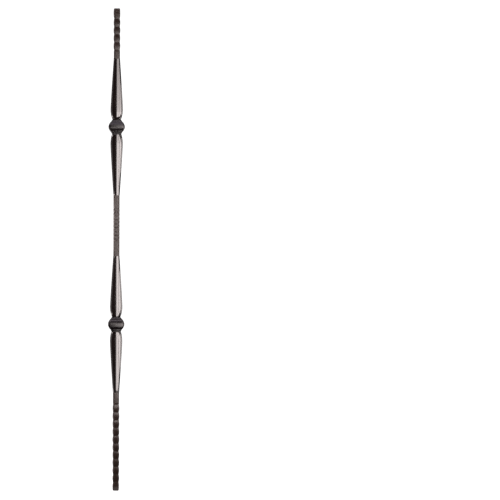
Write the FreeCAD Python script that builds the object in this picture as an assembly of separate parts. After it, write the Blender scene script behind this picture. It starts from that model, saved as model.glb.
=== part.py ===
import FreeCAD, Part
import math
import os

# Iron stair baluster: a square hammered bar with two ornaments, each a knuckle between two spoons.
# The origin is the centre of the bottom end, and +Z runs up the bar. Driving dimensions, in millimetres.

overall_length = 1117.6
lower_knuckle_centre = 386.2  # above the bottom end
knuckle_spacing = 457.2  # from the lower knuckle's centre to the upper one's

# Square bar
bar_width = 14.3  # face to face where the bar is plain
bar_bevel = 2.4  # leg of the bevel along each corner
end_chamfer = 1.2  # leg of the chamfer round each cut end

# Hammered pattern: rounded pads parted by narrow grooves, level on all four faces
groove_pitch = 18.0
groove_width = 5.2  # along the bar
groove_depth = 0.45  # below the plain face
pad_crown = 0.55  # middle of a pad above the plain face
middle_groove_pitch = 9.0  # the bar between the ornaments has lighter marks, closer together
middle_groove_width = 3.0
middle_groove_depth = 0.22
middle_pad_crown = 0.15
bottom_end_pad = 20.0  # from the bottom end to the first groove's centre
top_end_pad = 20.0  # from the last groove's centre to the top end, at least
plain_below_spoon = 24.0  # bar left plain under an ornament, at least
plain_above_lower_spoon = 38.0  # bar left plain over the lower ornament
plain_above_upper_spoon = 20.0  # bar left plain over the upper ornament

# Spoon: square in section with crowned faces and bevelled corners, widest near the knuckle
spoon_length = 141.5  # from the knuckle to the tip
spoon_width = 28.6  # face to face at the widest place
spoon_widest_at = 24.0  # from the knuckle
spoon_bevel = 2.3  # leg of the bevel along each corner, from the widest place to the knuckle
spoon_face_crown = 0.9  # middle of a face above its edges, from the widest place to the knuckle
spoon_tip_crown = 0.2  # middle of a face above the bar's face at the tip
spoon_taper_ease = 1.15  # 1 is a straight taper, and more is fuller near the widest place
upper_neck_width = 18.6  # where the upper spoon meets the knuckle
lower_neck_width = 21.4  # where the lower spoon meets the knuckle

# Knuckle: square in plan, a belly between two ledges, then a shoulder and a rim at each neck
knuckle_width = 38.1  # face to face across the belly
knuckle_height = 33.2  # from neck to neck
knuckle_bevel = 2.0  # leg of the bevel along each mitred corner
nose_height = 4.4  # rounded middle of the belly
nose_drop = 0.3  # edge of the rounded middle inside the belly's widest line
belly_height = 22.4  # from ledge to ledge
belly_crown = 0.6  # middle of the belly's slope outside its chord
belly_edge_width = 27.8  # across the outer edge of a ledge
shoulder_foot_width = 26.0  # across the inner edge of a ledge
ledge_rise = 0.3  # slope of a ledge, away from the belly
shoulder_crown = 0.4  # middle of a shoulder outside its chord
upper_rim_width = 20.6
lower_rim_width = 22.2
rim_height = 1.1


# Four-sided forms

def bowed(start, end, crown):
    """Leg in the shape of an arc from start to end, its middle outside their chord by the crown."""
    chord = math.dist(start, end)
    across = (start[0] + end[0]) / 2 + crown * (end[1] - start[1]) / chord
    up = (start[1] + end[1]) / 2 + crown * (start[0] - end[0]) / chord
    return [start, (across, up), end]


def prism(legs, reach):
    """Solid whose left and right sides follow the legs, running from -reach to reach along Y.

    A leg is two points for a straight run or three for an arc, each a pair (half width, height)."""
    edges = []
    for side in (1, -1):
        for leg in legs:
            points = [FreeCAD.Vector(side * across, -reach, up) for across, up in leg]
            curve = Part.LineSegment(*points) if len(points) == 2 else Part.Arc(*points)
            edges.append(curve.toShape())
    for across, up in (legs[0][0], legs[-1][-1]):
        left = FreeCAD.Vector(-across, -reach, up)
        right = FreeCAD.Vector(across, -reach, up)
        edges.append(Part.LineSegment(left, right).toShape())
    outline = Part.Face(Part.Wire(Part.__sortEdges__(edges)))
    return outline.extrude(FreeCAD.Vector(0, 2 * reach, 0))


def four_sided(legs, bevel):
    """Form with the same legs on all four faces, its corners bevelled by the same amount all the way up."""
    root_two = math.sqrt(2)
    corner_legs = [[(across * root_two - bevel / root_two, up) for across, up in leg] for leg in legs]
    reach = 2 * max(across for leg in legs for across, up in leg)
    form = prism(legs, reach)
    for turned_legs, angle in ((legs, 90), (corner_legs, 45), (corner_legs, -45)):
        cutter = prism(turned_legs, reach)
        cutter.rotate(FreeCAD.Vector(0, 0, 0), FreeCAD.Vector(0, 0, 1), angle)
        form = form.common(cutter)
    return form


# Hammered bar

deep_marks = (groove_pitch, groove_width, groove_depth, pad_crown)
light_marks = (middle_groove_pitch, middle_groove_width, middle_groove_depth, middle_pad_crown)


def bar(low, high, low_margin, high_margin, marks, low_is_cut=False, high_is_cut=False):
    """Length of bar from low to high, with the grooves that fit between its margins and a pad on each side of one.

    A cut end is chamfered, and the bar is a pad right up to it. Any other end is plain."""
    pitch, width, depth, crown = marks
    flat = bar_width / 2
    room = high - high_margin - low - low_margin
    count = max(0, math.floor(room / pitch) + 1)
    legs = []
    point = (flat, low)
    if low_is_cut:
        point = (flat, low + end_chamfer)
        legs.append([(flat - end_chamfer, low), point])
    for i in range(count):
        centre = low + low_margin + i * pitch
        start, end = (flat, centre - width / 2), (flat, centre + width / 2)
        is_pad = i > 0 or low_is_cut
        legs.append(bowed(point, start, crown) if is_pad else [point, start])
        legs.append(bowed(start, end, -depth))
        point = end
    if high_is_cut:
        start, point = point, (flat, high - end_chamfer)
        legs.append(bowed(start, point, crown) if count else [start, point])
        legs.append([point, (flat - end_chamfer, high)])
    else:
        legs.append([point, (flat, high)])
    return four_sided(legs, bar_bevel)


# Spoon

def spoon_section(half, crown, bevel, up):
    """Square with crowned faces and bevelled corners. half is the distance from the axis to a face's middle."""
    edge = half - crown  # from the axis to the line where a face meets its bevels
    reach = edge - bevel  # along the face, from its middle to a bevel
    edges = []
    for turn in range(4):
        points = [(edge, -reach), (half, 0), (edge, reach), (reach, edge)]
        cosine, sine = round(math.cos(turn * math.pi / 2)), round(math.sin(turn * math.pi / 2))
        placed = [FreeCAD.Vector(x * cosine - y * sine, x * sine + y * cosine, up) for x, y in points]
        edges.append(Part.Arc(*placed[:3]).toShape())
        edges.append(Part.LineSegment(*placed[2:]).toShape())
    return Part.Wire(edges)


def spoon(neck_width):
    """Spoon that stands on its neck at height 0, with its tip up. The tip's corners meet the bar's."""
    tip_width = bar_width + 2 * spoon_tip_crown
    taper = spoon_length - spoon_widest_at
    sections = []
    for share in (0, 0.12, 0.35, 0.65, 1):
        rise = (1 - (1 - share) ** 2) ** 0.8  # steep at the neck, level at the widest place
        width = neck_width + (spoon_width - neck_width) * rise
        sections.append(spoon_section(width / 2, spoon_face_crown, spoon_bevel, share * spoon_widest_at))
    for share in (0.15, 0.4, 0.7, 1):
        width = spoon_width + (tip_width - spoon_width) * share ** spoon_taper_ease
        crown = spoon_face_crown + (spoon_tip_crown - spoon_face_crown) * share
        bevel = spoon_bevel + (bar_bevel - spoon_bevel) * share
        sections.append(spoon_section(width / 2, crown, bevel, spoon_widest_at + share * taper))
    highest_degree = 2
    return Part.makeLoft(sections, True, False, False, highest_degree)


# Knuckle

def knuckle():
    """Knuckle centred on height 0."""
    ledge = belly_height / 2
    neck = knuckle_height / 2
    nose = (knuckle_width / 2 - nose_drop, nose_height / 2)

    def half(rim_width):
        """Legs from the belly's rounded middle to one neck, with heights counted away from the middle."""
        edge = (belly_edge_width / 2, ledge)
        foot = (shoulder_foot_width / 2, ledge + ledge_rise)
        rim = (rim_width / 2, neck - rim_height)
        return [
            bowed(nose, edge, belly_crown),
            [edge, foot],
            bowed(foot, rim, shoulder_crown),
            [rim, (rim_width / 2, neck)],
        ]

    def below(leg):
        return [(across, -up) for across, up in reversed(leg)]

    middle = [below([nose])[0], (knuckle_width / 2, 0), nose]
    lower_half = [below(leg) for leg in reversed(half(lower_rim_width))]
    return four_sided(lower_half + [middle] + half(upper_rim_width), knuckle_bevel)


def ornament(centre):
    """Knuckle at the given height, with a spoon above it and one below."""
    upper_spoon = spoon(upper_neck_width)
    lower_spoon = spoon(lower_neck_width)
    lower_spoon.rotate(FreeCAD.Vector(0, 0, 0), FreeCAD.Vector(1, 0, 0), 180)
    middle = knuckle()
    for form, up in ((upper_spoon, knuckle_height / 2), (lower_spoon, -knuckle_height / 2), (middle, 0)):
        form.translate(FreeCAD.Vector(0, 0, centre + up))
    return [lower_spoon, middle, upper_spoon]


# Whole baluster, one solid

def baluster():
    upper_knuckle_centre = lower_knuckle_centre + knuckle_spacing
    ornament_half = knuckle_height / 2 + spoon_length
    bottom_bar = bar(
        0,
        lower_knuckle_centre - ornament_half,
        bottom_end_pad,
        plain_below_spoon,
        deep_marks,
        low_is_cut=True,
    )
    middle_bar = bar(
        lower_knuckle_centre + ornament_half,
        upper_knuckle_centre - ornament_half,
        plain_above_lower_spoon,
        plain_below_spoon,
        light_marks,
    )
    top_bar = bar(
        upper_knuckle_centre + ornament_half,
        overall_length,
        plain_above_upper_spoon,
        top_end_pad,
        deep_marks,
        high_is_cut=True,
    )
    lengths = ornament(lower_knuckle_centre) + [middle_bar] + ornament(upper_knuckle_centre) + [top_bar]
    return bottom_bar.multiFuse(lengths)


os.makedirs("parts", exist_ok=True)
solids = baluster().Solids
print("solids", len(solids), "valid", solids[0].isValid(), "volume in cm3", round(solids[0].Volume / 1000, 1))
solids[0].exportStep("parts/baluster.step")
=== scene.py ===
import bpy
import math
import numpy as np
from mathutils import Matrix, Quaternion, Vector

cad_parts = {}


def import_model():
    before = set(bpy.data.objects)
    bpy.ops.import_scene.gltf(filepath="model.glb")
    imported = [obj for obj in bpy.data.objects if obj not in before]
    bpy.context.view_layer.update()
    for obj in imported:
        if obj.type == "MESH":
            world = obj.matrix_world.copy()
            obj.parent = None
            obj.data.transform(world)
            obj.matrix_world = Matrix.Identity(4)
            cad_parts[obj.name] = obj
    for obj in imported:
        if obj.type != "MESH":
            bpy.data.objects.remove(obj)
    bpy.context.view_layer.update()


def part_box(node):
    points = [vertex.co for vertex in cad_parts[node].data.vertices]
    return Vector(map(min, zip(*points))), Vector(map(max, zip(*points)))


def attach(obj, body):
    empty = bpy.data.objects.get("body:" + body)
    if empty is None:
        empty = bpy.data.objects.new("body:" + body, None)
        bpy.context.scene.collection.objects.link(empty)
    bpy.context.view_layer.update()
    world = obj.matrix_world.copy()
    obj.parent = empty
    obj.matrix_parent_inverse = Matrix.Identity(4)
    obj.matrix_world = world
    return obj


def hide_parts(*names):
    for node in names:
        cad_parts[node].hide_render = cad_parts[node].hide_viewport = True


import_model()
nodeLow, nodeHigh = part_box("baluster")
mm = 0.001  # the forms below are in millimetres, the scene in metres
print("frame loaded, baluster", round(nodeHigh.z - nodeLow.z, 4), "m tall")


# A node socket that does arithmetic, for shader and geometry trees alike

class Wire:
    def __init__(self, tree, socket=None):
        self.tree = tree
        self.socket = socket

    def node(self, kind, settings=None, sockets=None, out=0):
        made = self.tree.nodes.new(kind)
        for key, value in (settings or {}).items():
            setattr(made, key, value)
        for key, value in (sockets or {}).items():
            if isinstance(value, Wire):
                self.tree.links.new(value.socket, made.inputs[key])
            else:
                made.inputs[key].default_value = value
        if out is None:  # all the outputs, by name
            return {socket.name: Wire(self.tree, socket) for socket in made.outputs}
        return Wire(self.tree, made.outputs[out])

    def maths(self, operation, *values, clamp=False):
        settings = {"operation": operation, "use_clamp": clamp}
        return self.node("ShaderNodeMath", settings, dict(enumerate(values)))

    def __add__(self, other):
        return self.maths("ADD", self, other)

    def __radd__(self, other):
        return self.maths("ADD", other, self)

    def __sub__(self, other):
        return self.maths("SUBTRACT", self, other)

    def __rsub__(self, other):
        return self.maths("SUBTRACT", other, self)

    def __mul__(self, other):
        return self.maths("MULTIPLY", self, other)

    def __rmul__(self, other):
        return self.maths("MULTIPLY", other, self)

    def __truediv__(self, other):
        return self.maths("DIVIDE", self, other)

    def __rtruediv__(self, other):
        return self.maths("DIVIDE", other, self)

    def clamped(self):
        return self.maths("ADD", self, 0, clamp=True)

    def least(self, other):
        return self.maths("MINIMUM", self, other)

    def most(self, other):
        return self.maths("MAXIMUM", self, other)

    def rounded(self):
        return self.maths("ROUND", self)

    def floored(self):
        return self.maths("FLOOR", self)

    def below(self, other):
        return self.maths("LESS_THAN", self, other)

    def split(self):
        return list(self.node("ShaderNodeSeparateXYZ", sockets={0: self}, out=None).values())


# Form of the plain baluster: rings of points, one above another

barForm = {
    "width": 14.3,  # face to face
    "bevel": 2.4,
    "chamfer": 1.2,  # round each cut end
    "rowStep": 0.8,
    "crispness": 40,  # higher is a harder edge beside the bevels
}

spoonForm = {
    "length": 141.5,  # knuckle to tip
    "width": 28.6,
    "widestAt": 24.0,  # from the knuckle
    "bevel": 2.3,
    "crown": 0.9,  # middle of a face above its edges
    "tipCrown": 0.2,
    "taperEase": 1.15,  # 1 is a straight taper, and more is fuller near the widest place
    "neckEase": 0.8,  # less is steeper at the neck
    "upperNeck": 18.6,
    "lowerNeck": 21.4,
    "neckRows": 30,
    "neckCrowding": 1.7,  # more puts the rows closer together at the neck
    "taperRows": 70,
    "crispness": 90,
}

knuckleForm = {
    "lowerCentre": 386.2,  # above the bottom end
    "spacing": 457.2,
    "height": 33.2,  # neck to neck
    "bevel": 2.0,
    "noseHeight": 4.4,  # rounded middle of the belly
    "noseDrop": 0.3,
    "bellyHeight": 22.4,  # ledge to ledge
    "bellyCrown": 0.6,
    "bellyEdge": 27.8,  # across the outer edge of a ledge
    "shoulderFoot": 26.0,  # across the inner edge of a ledge
    "ledgeRise": 0.3,
    "shoulderCrown": 0.4,
    "upperRim": 20.6,
    "lowerRim": 22.2,
    "rimHeight": 1.1,
    "legSteps": 24,  # points on each stretch of the outline
    "softness": 0.3,  # how far the edges are rounded over
    "softStep": 0.05,  # between the samples that are averaged for it
    "softReach": 30,  # samples to each side
    "rowStep": 0.4,
    "crispness": 60,
}

ringForm = {
    # columns of points, as shares of half a face and of a bevel
    "face": [-1, -0.94, -0.82, -0.62, -0.4, -0.2, 0, 0.2, 0.4, 0.62, 0.82, 0.94, 1],
    "bevel": [0.12, 0.3, 0.5, 0.7, 0.88],
    "widestAngle": 1.2,  # radians from a face's middle, past which its crown isn't followed
    "faceEdge": 0.15,  # share of half a face that counts as edge
    "bevelEdge": 0.3,  # share of a bevel, from each side
}


def ring(height, half, crown, form, bevel=None, smooth=0, cast=0):
    return {
        "height": height,
        "half": half,
        "crown": crown,
        "bevel": form["bevel"] if bevel is None else bevel,
        "crispness": form["crispness"],
        "smooth": smooth,  # 1 on the spoons
        "cast": cast,  # 1 on the knuckles
    }


def barRings(low, high, lowIsCut=False, highIsCut=False):
    form = barForm
    count = round((high - low) / form["rowStep"])
    rings = []
    for height in np.linspace(low, high, count + 1):
        toLow = height - low if lowIsCut else form["chamfer"]
        toHigh = high - height if highIsCut else form["chamfer"]
        inset = max(0, form["chamfer"] - min(toLow, toHigh))
        rings.append(ring(height, form["width"] / 2 - inset, 0, form))
    return rings


def spoonRings(neckHeight, direction, neckWidth):
    form = spoonForm
    tipWidth = barForm["width"] + 2 * form["tipCrown"]
    rings = []
    for share in np.linspace(0, 1, form["neckRows"]) ** form["neckCrowding"]:
        rise = (1 - (1 - share) ** 2) ** form["neckEase"]
        width = neckWidth + (form["width"] - neckWidth) * rise
        height = neckHeight + direction * share * form["widestAt"]
        rings.append(ring(height, width / 2, form["crown"], form, smooth=1))
    for share in np.linspace(0, 1, form["taperRows"])[1:]:
        width = form["width"] + (tipWidth - form["width"]) * share ** form["taperEase"]
        crown = form["crown"] + (form["tipCrown"] - form["crown"]) * share
        bevel = form["bevel"] + (barForm["bevel"] - form["bevel"]) * share
        height = neckHeight + direction * (form["widestAt"] + share * (form["length"] - form["widestAt"]))
        rings.append(ring(height, width / 2, crown, form, bevel, smooth=1))
    return rings if direction > 0 else rings[::-1]


def bowed(start, end, crown):
    start, end = np.array(start), np.array(end)
    along = end - start
    out = np.array([along[1], -along[0]]) / np.hypot(*along)
    shares = np.linspace(0, 1, knuckleForm["legSteps"])[:, None]
    return start + along * shares + out * crown * 4 * shares * (1 - shares)


def knuckleSide(rimWidth, neckWidth):
    form = knuckleForm
    ledge, neck = form["bellyHeight"] / 2, form["height"] / 2
    middle = (nodeHigh.x / mm, 0)
    nose = (nodeHigh.x / mm - form["noseDrop"], form["noseHeight"] / 2)
    edge = (form["bellyEdge"] / 2, ledge)
    foot = (form["shoulderFoot"] / 2, ledge + form["ledgeRise"])
    rim = (rimWidth / 2, neck - form["rimHeight"])
    rimEnd = (rimWidth / 2, neck)
    return np.concatenate([
        bowed(middle, nose, form["noseDrop"] / 4),  # upright where it starts
        bowed(nose, edge, form["bellyCrown"]),
        bowed(edge, foot, 0),
        bowed(foot, rim, form["shoulderCrown"]),
        bowed(rim, rimEnd, 0),
        bowed(rimEnd, (neckWidth / 2, neck), 0),
    ])


def knuckleRings(centre):
    form = knuckleForm
    step, reach = form["softStep"], form["softReach"]
    below = knuckleSide(form["lowerRim"], spoonForm["lowerNeck"])[::-1] * (1, -1)
    line = np.concatenate([below, knuckleSide(form["upperRim"], spoonForm["upperNeck"])])
    run = np.concatenate([[0], np.cumsum(np.hypot(*np.diff(line, axis=0).T))])
    isNew = np.concatenate([[True], np.diff(run) > 1e-9])  # not the same point again

    # even samples along the outline, each averaged with its neighbours
    even = np.arange(0, run[-1], step)
    sampled = np.stack([np.interp(even, run[isNew], line[isNew, i]) for i in (0, 1)], axis=1)
    weights = np.exp(-0.5 * (np.arange(-reach, reach + 1) * step / form["softness"]) ** 2)
    weights /= weights.sum()
    padded = np.pad(sampled, ((reach, reach), (0, 0)), mode="edge")
    softened = np.stack([np.convolve(padded[:, i], weights, "valid") for i in (0, 1)], axis=1)

    rows = np.linspace(0, len(softened) - 1, round(run[-1] / form["rowStep"])).astype(int)
    return [ring(centre + height, half, 0, form, cast=1) for half, height in softened[rows]]


def ringPoints(row):
    half, crown, bevel, crispness = (row[name] for name in ("half", "crown", "bevel", "crispness"))
    edge = half - crown
    reach = edge - bevel
    quarter = [math.atan2(share * reach, edge) for share in ringForm["face"]]
    quarter += [math.atan2(reach + share * bevel, edge - share * bevel) for share in ringForm["bevel"]]
    angles = np.array([angle + turn * math.pi / 2 for turn in range(4) for angle in quarter])
    widest = ringForm["widestAngle"]

    # a ray from the axis ends at the nearest face or bevel, and the crispness says how sharply they meet
    total = np.zeros_like(angles)
    for turn in range(8):  # faces on even turns, bevels on odd ones
        away = (angles - turn * math.pi / 4 + math.pi) % (2 * math.pi) - math.pi
        facing = np.maximum(np.cos(away), 0)
        if turn % 2:
            distance = (edge + reach) / math.sqrt(2)
        else:
            across = half * np.tan(np.clip(away, -widest, widest))
            distance = half - crown * np.minimum(1, (across / reach) ** 2)
        total += (facing * half / distance) ** crispness
    radius = half * total ** (-1 / crispness)
    heights = np.full_like(angles, row["height"])
    return np.stack([radius * np.cos(angles), radius * np.sin(angles), heights], axis=1)


def ornamentPlaces():  # both centres, and how far an ornament reaches from its centre
    lower = knuckleForm["lowerCentre"]
    return lower, lower + knuckleForm["spacing"], knuckleForm["height"] / 2 + spoonForm["length"]


def plainBaluster():
    lower, upper, reach = ornamentPlaces()
    neck = knuckleForm["height"] / 2
    rings = barRings(0, lower - reach, lowIsCut=True)
    for centre, barTop in ((lower, upper - reach), (upper, nodeHigh.z / mm)):
        rings += spoonRings(centre - neck, -1, spoonForm["lowerNeck"])
        rings += knuckleRings(centre)
        rings += spoonRings(centre + neck, 1, spoonForm["upperNeck"])
        rings += barRings(centre + reach, barTop, highIsCut=centre == upper)

    # quads between neighbouring rings, and one face over each cut end
    points = np.concatenate([ringPoints(row) for row in rings]) * mm
    columns = 4 * (len(ringForm["face"]) + len(ringForm["bevel"]))
    topRing = (len(rings) - 1) * columns
    faces = [list(range(columns))[::-1]]
    for first in range(0, topRing, columns):
        for j in range(columns):
            k = (j + 1) % columns
            faces.append([first + j, first + k, first + columns + k, first + columns + j])
    faces.append([topRing + j for j in range(columns)])
    mesh = bpy.data.meshes.new("baluster_plain")
    mesh.from_pydata(points.tolist(), [], faces)

    # what the coating goes by: the kind of length, and 1 where a face meets a bevel
    quarterEdges = [max(0, 1 - (1 - abs(share)) / ringForm["faceEdge"]) for share in ringForm["face"]]
    quarterEdges += [max(0, 1 - min(share, 1 - share) / ringForm["bevelEdge"]) for share in ringForm["bevel"]]
    attributes = {name: np.repeat([row[name] for row in rings], columns) for name in ("smooth", "cast")}
    attributes["edge"] = np.tile(quarterEdges * 4, len(rings))
    for name, values in attributes.items():
        mesh.attributes.new(name, "FLOAT", "POINT").data.foreach_set("value", values.astype(np.float32))
    mesh.update()
    return mesh


# Black coating

coatingFinish = {
    "black": (0.0075, 0.0050, 0.0052, 1),
    "brown": (0.0125, 0.0078, 0.0068, 1),  # in clouds over the black
    "hammeredBlack": (0.031, 0.0186, 0.0145, 1),
    "hammeredShare": 0.8,
    "castBlack": (0.0035, 0.0024, 0.0028, 1),
    "castShare": 0.8,
    "castGrey": (0.015, 0.011, 0.013, 1),  # streaks left on the knuckles by forging
    "streakShare": 0.45,
    "streakTurn": (0.5, 0.5, 0),
    "streakStretch": (1, 1, 3),
    "wornAndSheen": (0.045, 0.036, 0.031, 1),  # real wear along edges, and a painted highlight that lightens the grooves
    "wornAndSheenShare": 0.35,
    "edgeWear": 0.6,
    "rubbed": (0.14, 0.125, 0.11, 1),  # speckles near the top end
    "rubbedShare": 0.8,
    "rubbedLength": 0.020,
    "rubbedFade": 0.004,
    "noise": {  # scale and detail
        "clouds": (35, 3),
        "streaks": (60, 4),
        "grain": (900, 4),
        "dents": (260, 2),
        "scuffs": (140, 5),
        "speckles": (420, 2),
    },
    "contrast": {  # where a pattern starts, and how steeply
        "streaks": (0.4, 3),
        "scuffs": (0.42, 4),
        "speckles": (0.5, 8),
    },
    "spoonRoughness": 0.13,
    "castRoughness": 0.2,
    "hammeredRoughness": 0.28,
    "roughening": {"clouds": 0.12, "grain": 0.06, "wearAndSheen": 0.08, "streaks": 0.06},
    "grainRelief": 0.012,
    "hammeredRelief": 0.6,
    "fineBarRelief": 0.15,  # on the bar between the ornaments
    "castRelief": 0.4,
    "bumpStrength": 0.35,
    "bumpDistance": 0.0004,
    "refraction": 1.4,
    "coatRoughness": 0.05,  # of the clear gloss on the spoons
}


def newMaterial(name):
    material = bpy.data.materials.new(name)
    material.use_nodes = True
    material.node_tree.nodes.clear()
    return material, Wire(material.node_tree)


def coatingMaterial():
    finish = coatingFinish
    material, start = newMaterial("black_coating")
    place = start.node("ShaderNodeTexCoord", out="Object")

    def attribute(name):
        return start.node("ShaderNodeAttribute", {"attribute_name": name}, out="Fac")

    def noise(name, vector=place):
        scale, detail = finish["noise"][name]
        return start.node("ShaderNodeTexNoise", sockets={"Vector": vector, "Scale": scale, "Detail": detail})

    def contrasted(name, vector=place):
        low, steepness = finish["contrast"][name]
        return ((noise(name, vector) - low) * steepness).clamped()

    def mixed(amount, first, second):
        sockets = {0: amount, 6: first, 7: second}  # those of a colour mix have no names of their own
        return start.node("ShaderNodeMix", {"data_type": "RGBA"}, sockets, out=2)

    smooth, cast = attribute("smooth"), attribute("cast")
    hammered = (1 - smooth - cast).clamped()
    slanted = start.node(
        "ShaderNodeMapping",
        sockets={"Vector": place, "Rotation": finish["streakTurn"], "Scale": finish["streakStretch"]},
    )
    streaks = contrasted("streaks", slanted) * cast
    clouds, grain, dents = noise("clouds"), noise("grain"), noise("dents")
    # edges for real wear, and grooves for a painted highlight
    wornAndSheen = (attribute("edge") * finish["edgeWear"] + attribute("groove")).least(1)
    wearAndSheen = wornAndSheen * contrasted("scuffs") * (1 - smooth)
    height = place.split()[2]
    nearTop = ((height - nodeHigh.z + finish["rubbedLength"]) / finish["rubbedFade"]).clamped()
    speckles = nearTop * contrasted("speckles")
    lower, upper, reach = ornamentPlaces()
    inFineBar = height.below((upper - reach) * mm) * (1 - height.below((lower + reach) * mm))

    colour = mixed(clouds, finish["black"], finish["brown"])
    colour = mixed(hammered * finish["hammeredShare"], colour, finish["hammeredBlack"])
    colour = mixed(cast * finish["castShare"], colour, finish["castBlack"])
    colour = mixed(streaks * finish["streakShare"], colour, finish["castGrey"])
    # lighter along worn edges, and lighter in the grooves of the hammered bars as a painted highlight
    colour = mixed(wearAndSheen * finish["wornAndSheenShare"], colour, finish["wornAndSheen"])
    colour = mixed(speckles * finish["rubbedShare"], colour, finish["rubbed"])

    roughening = finish["roughening"]
    roughness = smooth * finish["spoonRoughness"] + cast * finish["castRoughness"]
    roughness = roughness + hammered * finish["hammeredRoughness"]
    roughness = roughness + (clouds - 0.5) * roughening["clouds"] + (grain - 0.5) * roughening["grain"]
    roughness = roughness + wearAndSheen * roughening["wearAndSheen"] + streaks * roughening["streaks"]

    calmer = inFineBar * (finish["hammeredRelief"] - finish["fineBarRelief"])
    dented = hammered * (finish["hammeredRelief"] - calmer) + cast * finish["castRelief"]
    bump = start.node(
        "ShaderNodeBump",
        sockets={
            "Strength": finish["bumpStrength"],
            "Distance": finish["bumpDistance"],
            "Height": grain * finish["grainRelief"] + dents * dented,
        },
    )
    shader = start.node(
        "ShaderNodeBsdfPrincipled",
        sockets={
            "Base Color": colour,
            "Roughness": roughness,
            "Normal": bump,
            "IOR": finish["refraction"],
            "Coat Weight": smooth,
            "Coat Roughness": finish["coatRoughness"],
        },
    )
    start.node("ShaderNodeOutputMaterial", sockets={"Surface": shader}, out=None)
    return material


# Hammer marks, a geometry tree run once for each length of bar

hammerMarks = {
    "deep": {
        "pitch": 18.0,
        "grooveWidth": 5.2,
        "grooveDepth": 0.45,
        "padCrown": 0.55,
        "dentDepth": 0.14,
        "grooveSheen": 1.0,  # how much the coating is lightened along a groove, a painted highlight
    },
    "light": {  # on the bar between the ornaments
        "pitch": 9.0,
        "grooveWidth": 3.0,
        "grooveDepth": 0.3,
        "padCrown": 0.15,
        "dentDepth": 0.02,
        "grooveSheen": 0.0,
    },
    "dentSize": 7.0,
    "dentDetail": 2.0,
    "unevenness": 0.35,  # share by which one mark differs from the next
    "roundTheBar": 0.45,  # how fast that changes round the bar
    "markToMark": 1.37,  # along the bar
    "barToBar": 91.0,
    "grooveShift": 11,  # keeps the grooves' draws apart from the pads'
    "seed": 4,
    "bottomMargin": 20.0,  # from the bottom end to the first groove
    "topMargin": 20.0,
    "belowSpoon": 24.0,
    "aboveLowerSpoon": 38.0,
    "aboveUpperSpoon": 20.0,
    "hardEdge": 50,  # degrees past which an edge is shaded hard
}

hammerSockets = {
    "Geometry": ("Geometry",),
    "Float": (
        "Low end",
        "High end",
        "First groove",
        "Pitch",
        "Groove width",
        "Groove depth",
        "Pad crown",
        "Chamfer",
        "Flat reach",
        "Unevenness",
        "Dent depth",
        "Dent size",
        "Groove wear",
    ),
    "Int": ("Groove count", "Low is cut", "High is cut", "Seed"),
    "Material": ("Coating",),
}


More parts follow.
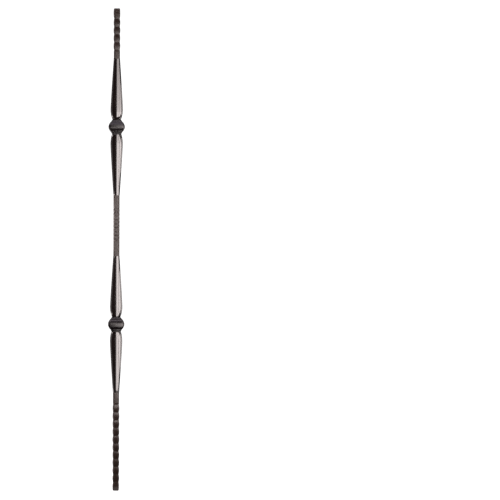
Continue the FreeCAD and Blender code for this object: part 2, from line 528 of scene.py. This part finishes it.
def hammerTree():
    marks = hammerMarks
    tree = bpy.data.node_groups.new("hammer_marks", "GeometryNodeTree")
    tree.interface.new_socket("Geometry", in_out="OUTPUT", socket_type="NodeSocketGeometry")
    for kind, names in hammerSockets.items():
        for name in names:
            tree.interface.new_socket(name, in_out="INPUT", socket_type="NodeSocket" + kind)
    start = Wire(tree)
    given = start.node("NodeGroupInput", out=None)
    place = start.node("GeometryNodeInputPosition")
    x, y, height = place.split()

    nudge = 1e-6  # takes in the rows at both ends
    inBar = (given["Low end"] - nudge).below(height) * height.below(given["High end"] + nudge)
    beat = (height - given["First groove"]) / given["Pitch"]
    last = given["Groove count"] - 1

    # nearest groove, 1 along its middle
    groove = beat.rounded().most(0).least(last)
    acrossGroove = (beat - groove) * given["Pitch"] * 2 / given["Groove width"]
    hollow = (1 - acrossGroove * acrossGroove).clamped()

    # the pad that a point is on, 1 along its middle
    pad = beat.floored().most(-1).least(last)
    isFirst, isLast = pad.below(-0.5), (last - 0.5).below(pad)
    half = given["Groove width"] / 2
    padLow = given["First groove"] + pad * given["Pitch"] + half
    padHigh = given["First groove"] + (pad + 1) * given["Pitch"] - half
    padLow = padLow * (1 - isFirst) + (given["Low end"] + given["Chamfer"]) * isFirst
    padHigh = padHigh * (1 - isLast) + (given["High end"] - given["Chamfer"]) * isLast
    acrossPad = (2 * height - padLow - padHigh) / (padHigh - padLow)
    isPad = (1 - isFirst * (1 - given["Low is cut"])) * (1 - isLast * (1 - given["High is cut"]))
    swell = (1 - acrossPad * acrossPad).clamped() * isPad

    # the same way out as a square of growing size
    acrossX, acrossY = x / given["Flat reach"], y / given["Flat reach"]
    wayOut = start.node(
        "ShaderNodeCombineXYZ",
        sockets={0: acrossX.most(-1).least(1), 1: acrossY.most(-1).least(1)},
    )

    def noise(vector, scale, detail):
        sockets = {"Vector": vector, "W": given["Seed"], "Scale": scale, "Detail": detail}
        return start.node("ShaderNodeTexNoise", {"noise_dimensions": "4D"}, sockets)

    def random(index, shift):
        sockets = {
            0: acrossX * marks["roundTheBar"] + shift,
            1: acrossY * marks["roundTheBar"],
            2: index * marks["markToMark"] + given["Low end"] * marks["barToBar"],
        }
        return noise(start.node("ShaderNodeCombineXYZ", sockets=sockets), 1.0, 0.0) * 2 - 1

    uneven = given["Unevenness"] * 2
    rise = swell * given["Pad crown"] * (1 + uneven * random(pad, 0))
    fall = hollow * given["Groove depth"] * (1 + uneven * random(groove, marks["grooveShift"]))
    dents = noise(place, 1 / given["Dent size"], marks["dentDetail"])
    amount = (rise - fall + (dents - 0.5) * given["Dent depth"] * swell.most(hollow)) * inBar
    offset = start.node("ShaderNodeVectorMath", {"operation": "SCALE"}, {0: wayOut, "Scale": amount})
    moved = start.node("GeometryNodeSetPosition", sockets={"Geometry": given["Geometry"], "Offset": offset})
    # the groove mask, stored for the painted highlight that lightens the coating along the grooves
    marked = start.node(
        "GeometryNodeStoreNamedAttribute",
        {"data_type": "FLOAT", "domain": "POINT"},
        {"Geometry": moved, "Selection": inBar, "Name": "groove", "Value": hollow * given["Groove wear"]},
    )
    real = start.node("GeometryNodeRealizeInstances", sockets={"Geometry": marked})
    painted = start.node("GeometryNodeSetMaterial", sockets={"Geometry": real, "Material": given["Coating"]})
    start.node("NodeGroupOutput", sockets={0: painted}, out=None)
    return tree


def hammeredBaluster(coating):
    plain = bpy.data.objects.new("baluster_plain", plainBaluster())
    bpy.context.scene.collection.objects.link(plain)
    tree = hammerTree()
    marks = hammerMarks
    lower, upper, reach = ornamentPlaces()
    bars = (
        ("deep", 0, lower - reach, marks["bottomMargin"], marks["belowSpoon"], 1, 0),
        ("light", lower + reach, upper - reach, marks["aboveLowerSpoon"], marks["belowSpoon"], 0, 0),
        ("deep", upper + reach, nodeHigh.z / mm, marks["aboveUpperSpoon"], marks["topMargin"], 0, 1),
    )
    identifiers = {item.name: item.identifier for item in tree.interface.items_tree if item.in_out == "INPUT"}
    for kind, low, high, lowMargin, highMargin, lowIsCut, highIsCut in bars:
        own = marks[kind]
        values = {
            "Low end": low * mm,
            "High end": high * mm,
            "First groove": (low + lowMargin) * mm,
            "Pitch": own["pitch"] * mm,
            "Groove width": own["grooveWidth"] * mm,
            "Groove depth": own["grooveDepth"] * mm,
            "Pad crown": own["padCrown"] * mm,
            "Chamfer": barForm["chamfer"] * mm,
            "Flat reach": (barForm["width"] / 2 - barForm["bevel"]) * mm,
            "Unevenness": marks["unevenness"],
            "Dent depth": own["dentDepth"] * mm,
            "Dent size": marks["dentSize"] * mm,
            "Groove wear": own["grooveSheen"],
            "Groove count": math.floor((high - highMargin - low - lowMargin) / own["pitch"]) + 1,
            "Low is cut": lowIsCut,
            "High is cut": highIsCut,
            "Seed": marks["seed"],
            "Coating": coating,
        }
        modifier = plain.modifiers.new("hammer", "NODES")
        modifier.node_group = tree
        for name, value in values.items():
            modifier[identifiers[name]] = value
    depsgraph = bpy.context.evaluated_depsgraph_get()
    mesh = bpy.data.meshes.new_from_object(plain.evaluated_get(depsgraph))
    mesh.name = "baluster"
    bpy.data.objects.remove(plain)
    mesh.shade_smooth()
    mesh.set_sharp_from_angle(angle=math.radians(marks["hardEdge"]))
    piece = bpy.data.objects.new("hammered_baluster", mesh)
    bpy.context.scene.collection.objects.link(piece)
    return piece


baluster = hammeredBaluster(coatingMaterial())
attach(baluster, "root")
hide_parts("baluster")
print("baluster made,", sum(len(face.vertices) - 2 for face in baluster.data.polygons), "triangles")


# Studio: white floor and surround, upright sheets of light, and black flags that keep the rest dark

studio = {
    "floorSize": 240.0,
    "paper": (0.8, 0.8, 0.8, 1),
    "paperGlow": 0.92,  # to the camera and in reflections
    "surround": 1.0,  # to the camera and in reflections
    "surroundLight": 0.3,  # on matt surfaces
    "tint": (1, 0.91, 0.89, 1),
    "fade": 0.44,  # share that a sheet loses towards its top
    "fadeFrom": 0.785,  # height
    "fadeLength": 0.25,
    "felt": (0.01, 0.01, 0.01, 1),
}


def stageSheet(name, corners, shaderOf, sampled=False):
    material, start = newMaterial(name)
    start.node("ShaderNodeOutputMaterial", sockets={"Surface": shaderOf(start)}, out=None)
    if not sampled:
        material.cycles.emission_sampling = "NONE"  # mirrored only, which leaves less grain
    mesh = bpy.data.meshes.new(name)
    mesh.from_pydata(corners, [], [(0, 1, 2, 3)])
    mesh.materials.append(material)
    sheet = bpy.data.objects.new(name, mesh)
    bpy.context.scene.collection.objects.link(sheet)
    return sheet


# corners of a sheet, from where it starts and ends along each axis

def level(x, y, z):
    return [(x[0], y[0], z), (x[1], y[0], z), (x[1], y[1], z), (x[0], y[1], z)]


def upright(x, y, z):  # seen from above, a line
    return [(x[0], y[0], z[0]), (x[1], y[1], z[0]), (x[1], y[1], z[1]), (x[0], y[0], z[1])]


def seenBare(start):
    path = start.node("ShaderNodeLightPath", out=None)
    return path["Is Camera Ray"].most(path["Is Glossy Ray"]).most(path["Is Transmission Ray"])


def floor():
    def paper(start):
        matte = start.node("ShaderNodeBsdfDiffuse", sockets={"Color": studio["paper"]})
        strength = seenBare(start) * studio["paperGlow"]
        glow = start.node("ShaderNodeEmission", sockets={"Strength": strength})
        return start.node("ShaderNodeAddShader", sockets={0: matte, 1: glow})

    side = studio["floorSize"] / 2
    stageSheet("floor", level((-side, side), (-side, side), 0), paper)


def world():
    surround = bpy.data.worlds.new("studio")
    bpy.context.scene.world = surround
    surround.use_nodes = True
    surround.node_tree.nodes.clear()
    start = Wire(surround.node_tree)
    matt = studio["surroundLight"]
    strength = seenBare(start) * (studio["surround"] - matt) + matt
    sky = start.node("ShaderNodeBackground", sockets={"Color": (1, 1, 1, 1), "Strength": strength})
    start.node("ShaderNodeOutputWorld", sockets={"Surface": sky}, out=None)


def hidden(sheet, lightsMatt):
    sheet.visible_camera = False
    sheet.visible_shadow = False
    sheet.visible_diffuse = lightsMatt


def lightSheet(name, corners, radiance, softEdge=None, lightsMatt=False, sampled=False):
    def glow(start):
        place = start.node("ShaderNodeTexCoord", out="Object").split()
        lost = ((place[2] - studio["fadeFrom"]) / studio["fadeLength"]).clamped() * studio["fade"]
        strength = radiance * (1 - lost)
        if softEdge:
            share = ((place[0] - softEdge[0]) / (softEdge[1] - softEdge[0])).clamped()
            strength = strength * share * share * (3 - 2 * share)
        return start.node("ShaderNodeEmission", sockets={"Color": studio["tint"], "Strength": strength})

    hidden(stageSheet(name, corners, glow, sampled), lightsMatt)


def blackFlag(name, corners):
    def felt(start):
        return start.node("ShaderNodeBsdfDiffuse", sockets={"Color": studio["felt"]})

    hidden(stageSheet(name, corners, felt), False)


# Sheets before the baluster, in pairs: the inner one has a soft left edge, and a thin gap parts the two

frontLights = {
    "tall": {
        "inner": (-0.02, 0.138),
        "softTo": 0.04,
        "outer": (0.164, 0.29),
        "y": -0.75,
        "z": (0.375, 0.95),
        "radiance": (10.2, 11.2),
        "lightsMatt": True,
    },
    "near": {  # for the lowest spoon and the lower knuckle
        "inner": (-0.0055, 0.034),
        "softTo": 0.011,
        "outer": (0.0395, 0.07),
        "y": -0.18,
        "z": (0.198, 0.416),
        "radiance": (9.6, 10.5),
        "lightsMatt": False,
    },
    "upper": {  # for the highest spoon and the top bar
        "inner": (-0.0055, 0.034),
        "softTo": 0.011,
        "outer": (0.0395, 0.07),
        "y": -0.18,
        "z": (0.84, 1.024),
        "radiance": (9.1, 9.9),
        "lightsMatt": False,
    },
}


def lightFront():
    for name, own in frontLights.items():
        y, z, matt = (own["y"], own["y"]), own["z"], own["lightsMatt"]
        inner, outer = own["radiance"]
        softEdge = (own["inner"][0], own["softTo"])
        lightSheet("light_" + name, upright(own["inner"], y, z), inner, softEdge, matt, sampled=True)
        lightSheet("light_" + name + "_outer", upright(own["outer"], y, z), outer, None, matt, sampled=True)


# Sheets to the sides, for the bevels and the side views

sideLights = {
    "right_low": {"x": 0.5, "y": (-0.06, 0.10), "z": (0.20, 0.54), "radiance": 5.5},
    "right_high": {"x": 0.5, "y": (-0.06, 0.10), "z": (0.66, 0.975), "radiance": 5.5},
    "left": {"x": -0.59, "y": (-0.3, 0.3), "z": (0.05, 1.2), "radiance": 0.45, "lightsMatt": True},
    "left_middle": {"x": -0.12, "y": (-0.10, 0.03), "z": (0.553, 0.668), "radiance": 9},
    "left_foot": {"x": -0.12, "y": (-0.10, 0.03), "z": (0.02, 0.215), "radiance": 2.2},
    "left_top": {"x": -0.12, "y": (-0.10, 0.03), "z": (1.02, 1.13), "radiance": 2.6},
    "left_band_low": {"x": -0.05, "y": (-0.02, 0.04), "z": (0.382, 0.394), "radiance": 6},
    "left_band_high": {"x": -0.05, "y": (-0.02, 0.04), "z": (0.839, 0.851), "radiance": 6},
}


def lightSides():
    for name, own in sideLights.items():
        corners = upright((own["x"], own["x"]), own["y"], own["z"])
        lightSheet("light_" + name, corners, own["radiance"], lightsMatt=own.get("lightsMatt", False))


# Sheets across the four corners of the studio, for the diagonal views

cornerLights = {
    "near": 0.31,  # from the middle lines, at one upright edge and the other
    "far": 0.59,
    "z": (0.05, 1.25),
    "radiance": {"left": 1.3, "right": 3, "back_left": 1.6, "back_right": 1.6},
}


def lightCorners():
    near, far = cornerLights["near"], cornerLights["far"]
    for name, radiance in cornerLights["radiance"].items():
        isBack = name.startswith("back")
        xSide = -1 if name.endswith("left") else 1
        ySide = 1 if isBack else -1
        corners = upright((near * xSide, far * xSide), (far * ySide, near * ySide), cornerLights["z"])
        lightSheet("light_corner_" + name, corners, radiance, lightsMatt=isBack)


overhead = {
    "place": (0, -0.5, 2.2),
    "aim": (0, -0.5, 0.6),
    "size": (1.2, 1.8),
    "radiance": 1.05,
    "tint": (1, 0.74, 1),
}


def lightOverhead():
    width, depth = overhead["size"]
    data = bpy.data.lights.new("overhead", "AREA")
    data.shape = "RECTANGLE"
    data.size, data.size_y = width, depth
    data.energy = math.pi * overhead["radiance"] * width * depth
    data.color = overhead["tint"]
    lamp = bpy.data.objects.new("overhead", data)
    lamp.location = overhead["place"]
    aim = Vector(overhead["aim"]) - Vector(overhead["place"])
    lamp.rotation_euler = aim.to_track_quat("-Z", "Y").to_euler()
    lamp.visible_camera = False
    bpy.context.scene.collection.objects.link(lamp)


blackFlags = {
    "front": {"x": (-0.6, 0.5), "y": (-0.76, -0.76), "z": (0.01, 1.6)},
    "floor": {"x": (-0.6, 0.5), "y": (-2.5, 0.6), "z": 0.01},
    "left": {"x": (-0.6, -0.6), "y": (-0.76, 0.5), "z": (0.01, 1.4)},
    "right": {"x": (1.2, 1.2), "y": (-0.76, 0.5), "z": (0.01, 1.4)},
    "back": {"x": (-0.35, 0.35), "y": (0.8, 0.8), "z": (0.01, 1.4)},
}


def hangFlags():
    for name, own in blackFlags.items():
        placed = level if name == "floor" else upright
        blackFlag("flag_" + name, placed(own["x"], own["y"], own["z"]))


cameraView = {
    "elevation": 3.0,  # degrees
    "lean": 0.155,  # degrees
    "distance": 30.0,
    "farthest": 300.0,
    "sensor": 36.0,  # millimetres across
    "frame": 500,  # pixels, across and up
    "axisPixel": 116.37,  # where the baluster's axis stands in the frame
    "topPixel": 8.4,
    "bottomPixel": 491.05,
}


def camera():
    frameSize, top, bottom = (cameraView[name] for name in ("frame", "topPixel", "bottomPixel"))
    low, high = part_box("baluster")
    tilt = math.radians(cameraView["elevation"])
    tall = (high.z - low.z) * math.cos(tilt) + barForm["width"] * mm * math.sin(tilt)
    viewSize = tall * frameSize / (bottom - top)
    data = bpy.data.cameras.new("camera")
    data.sensor_width = cameraView["sensor"]
    data.lens = cameraView["sensor"] * cameraView["distance"] / viewSize
    data.shift_x = 0.5 - cameraView["axisPixel"] / frameSize
    data.shift_y = (bottom + top) / 2 / frameSize - 0.5
    data.clip_end = cameraView["farthest"]
    lens = bpy.data.objects.new("camera", data)
    away = Vector((0, -math.cos(tilt), math.sin(tilt)))
    lens.location = (low + high) / 2 + away * cameraView["distance"]
    straight = (-away).to_track_quat("-Z", "Y")
    lens.rotation_euler = (straight @ Quaternion((0, 0, 1), math.radians(cameraView["lean"]))).to_euler()
    bpy.context.scene.collection.objects.link(lens)
    bpy.context.scene.camera = lens


floor()
world()
lightFront()
lightSides()
lightCorners()
lightOverhead()
hangFlags()
camera()
bpy.context.scene.view_settings.view_transform = "Standard"
print("studio set")
